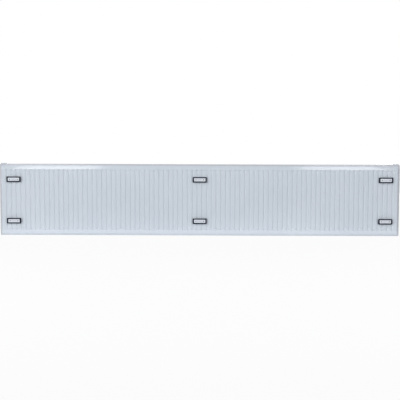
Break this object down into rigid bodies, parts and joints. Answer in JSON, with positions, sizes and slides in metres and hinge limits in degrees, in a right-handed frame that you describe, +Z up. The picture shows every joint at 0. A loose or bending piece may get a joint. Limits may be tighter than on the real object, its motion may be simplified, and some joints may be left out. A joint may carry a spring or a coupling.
{
  "type": "steel panel radiator",
  "caption": "Long double steel panel radiator with fluted panels, convector fins, top grille, side covers, rear hanging lugs in black hook guides, pipe sockets and an air vent.",
  "frame": {"origin": "on the floor plane under the panels' lower edges, in the middle of the footprint", "axes": "+X along the length, to the right in the picture; +Z up; -Y towards the wall, the side with the lugs"},
  "size_m": [2.8, 0.1132, 0.506],
  "materials": {
    "white_enamel": "gloss enamel",
    "convector_enamel": "thin satin enamel",
    "black_plastic": "matt moulded",
    "black_rubber": "matt",
    "spring_steel": "zinc plated",
    "nickelled_brass": "nickel plated",
    "bare_brass": "turned",
    "white_plastic": "moulded"
  },
  "bodies": {
    "radiator": {"rear_outer_sheet": "white_enamel", "rear_inner_sheet": "white_enamel", "front_outer_sheet": "white_enamel", "front_inner_sheet": "white_enamel", "rear_convector": "convector_enamel", "front_convector": "convector_enamel", "side_cover_left": "white_enamel", "side_cover_right": "white_enamel", "tee_bottom_left": "white_enamel", "tee_top_left": "white_enamel", "tee_bottom_right": "white_enamel", "tee_top_right": "white_enamel", "buffer_studs": "black_rubber", "plug_seals": "black_rubber", "blanking_plug": "nickelled_brass", "vent_plug": "nickelled_brass", "lug_lower_left": "white_enamel", "hook_guide_lower_left": "black_plastic", "lug_lower_centre": "white_enamel", "hook_guide_lower_centre": "black_plastic", "lug_lower_right": "white_enamel", "hook_guide_lower_right": "black_plastic", "lug_upper_left": "white_enamel", "hook_guide_upper_left": "black_plastic", "lug_upper_centre": "white_enamel", "hook_guide_upper_centre": "black_plastic", "lug_upper_right": "white_enamel", "hook_guide_upper_right": "black_plastic"},
    "grille": {"top_grille": "white_enamel", "grille_clips": "spring_steel"},
    "bleed": {"bleed_spindle": "bare_brass"},
    "nozzle": {"vent_nozzle": "white_plastic"}
  },
  "joints": [
    {"name": "grille_lift", "type": "slide", "parent": "radiator", "child": "grille", "axis": [0, 0, 1], "range_m": [0, 0.08]},
    {"name": "bleed_turn", "type": "hinge", "parent": "radiator", "child": "bleed", "pos_m": [1.385, 0.0066, 0.4715], "axis": [1, 0, 0], "range_deg": [0, 540]},
    {"name": "nozzle_swivel", "type": "hinge", "parent": "radiator", "child": "nozzle", "pos_m": [1.385, 0.0066, 0.4715], "axis": [1, 0, 0], "continuous": true}
  ]
}
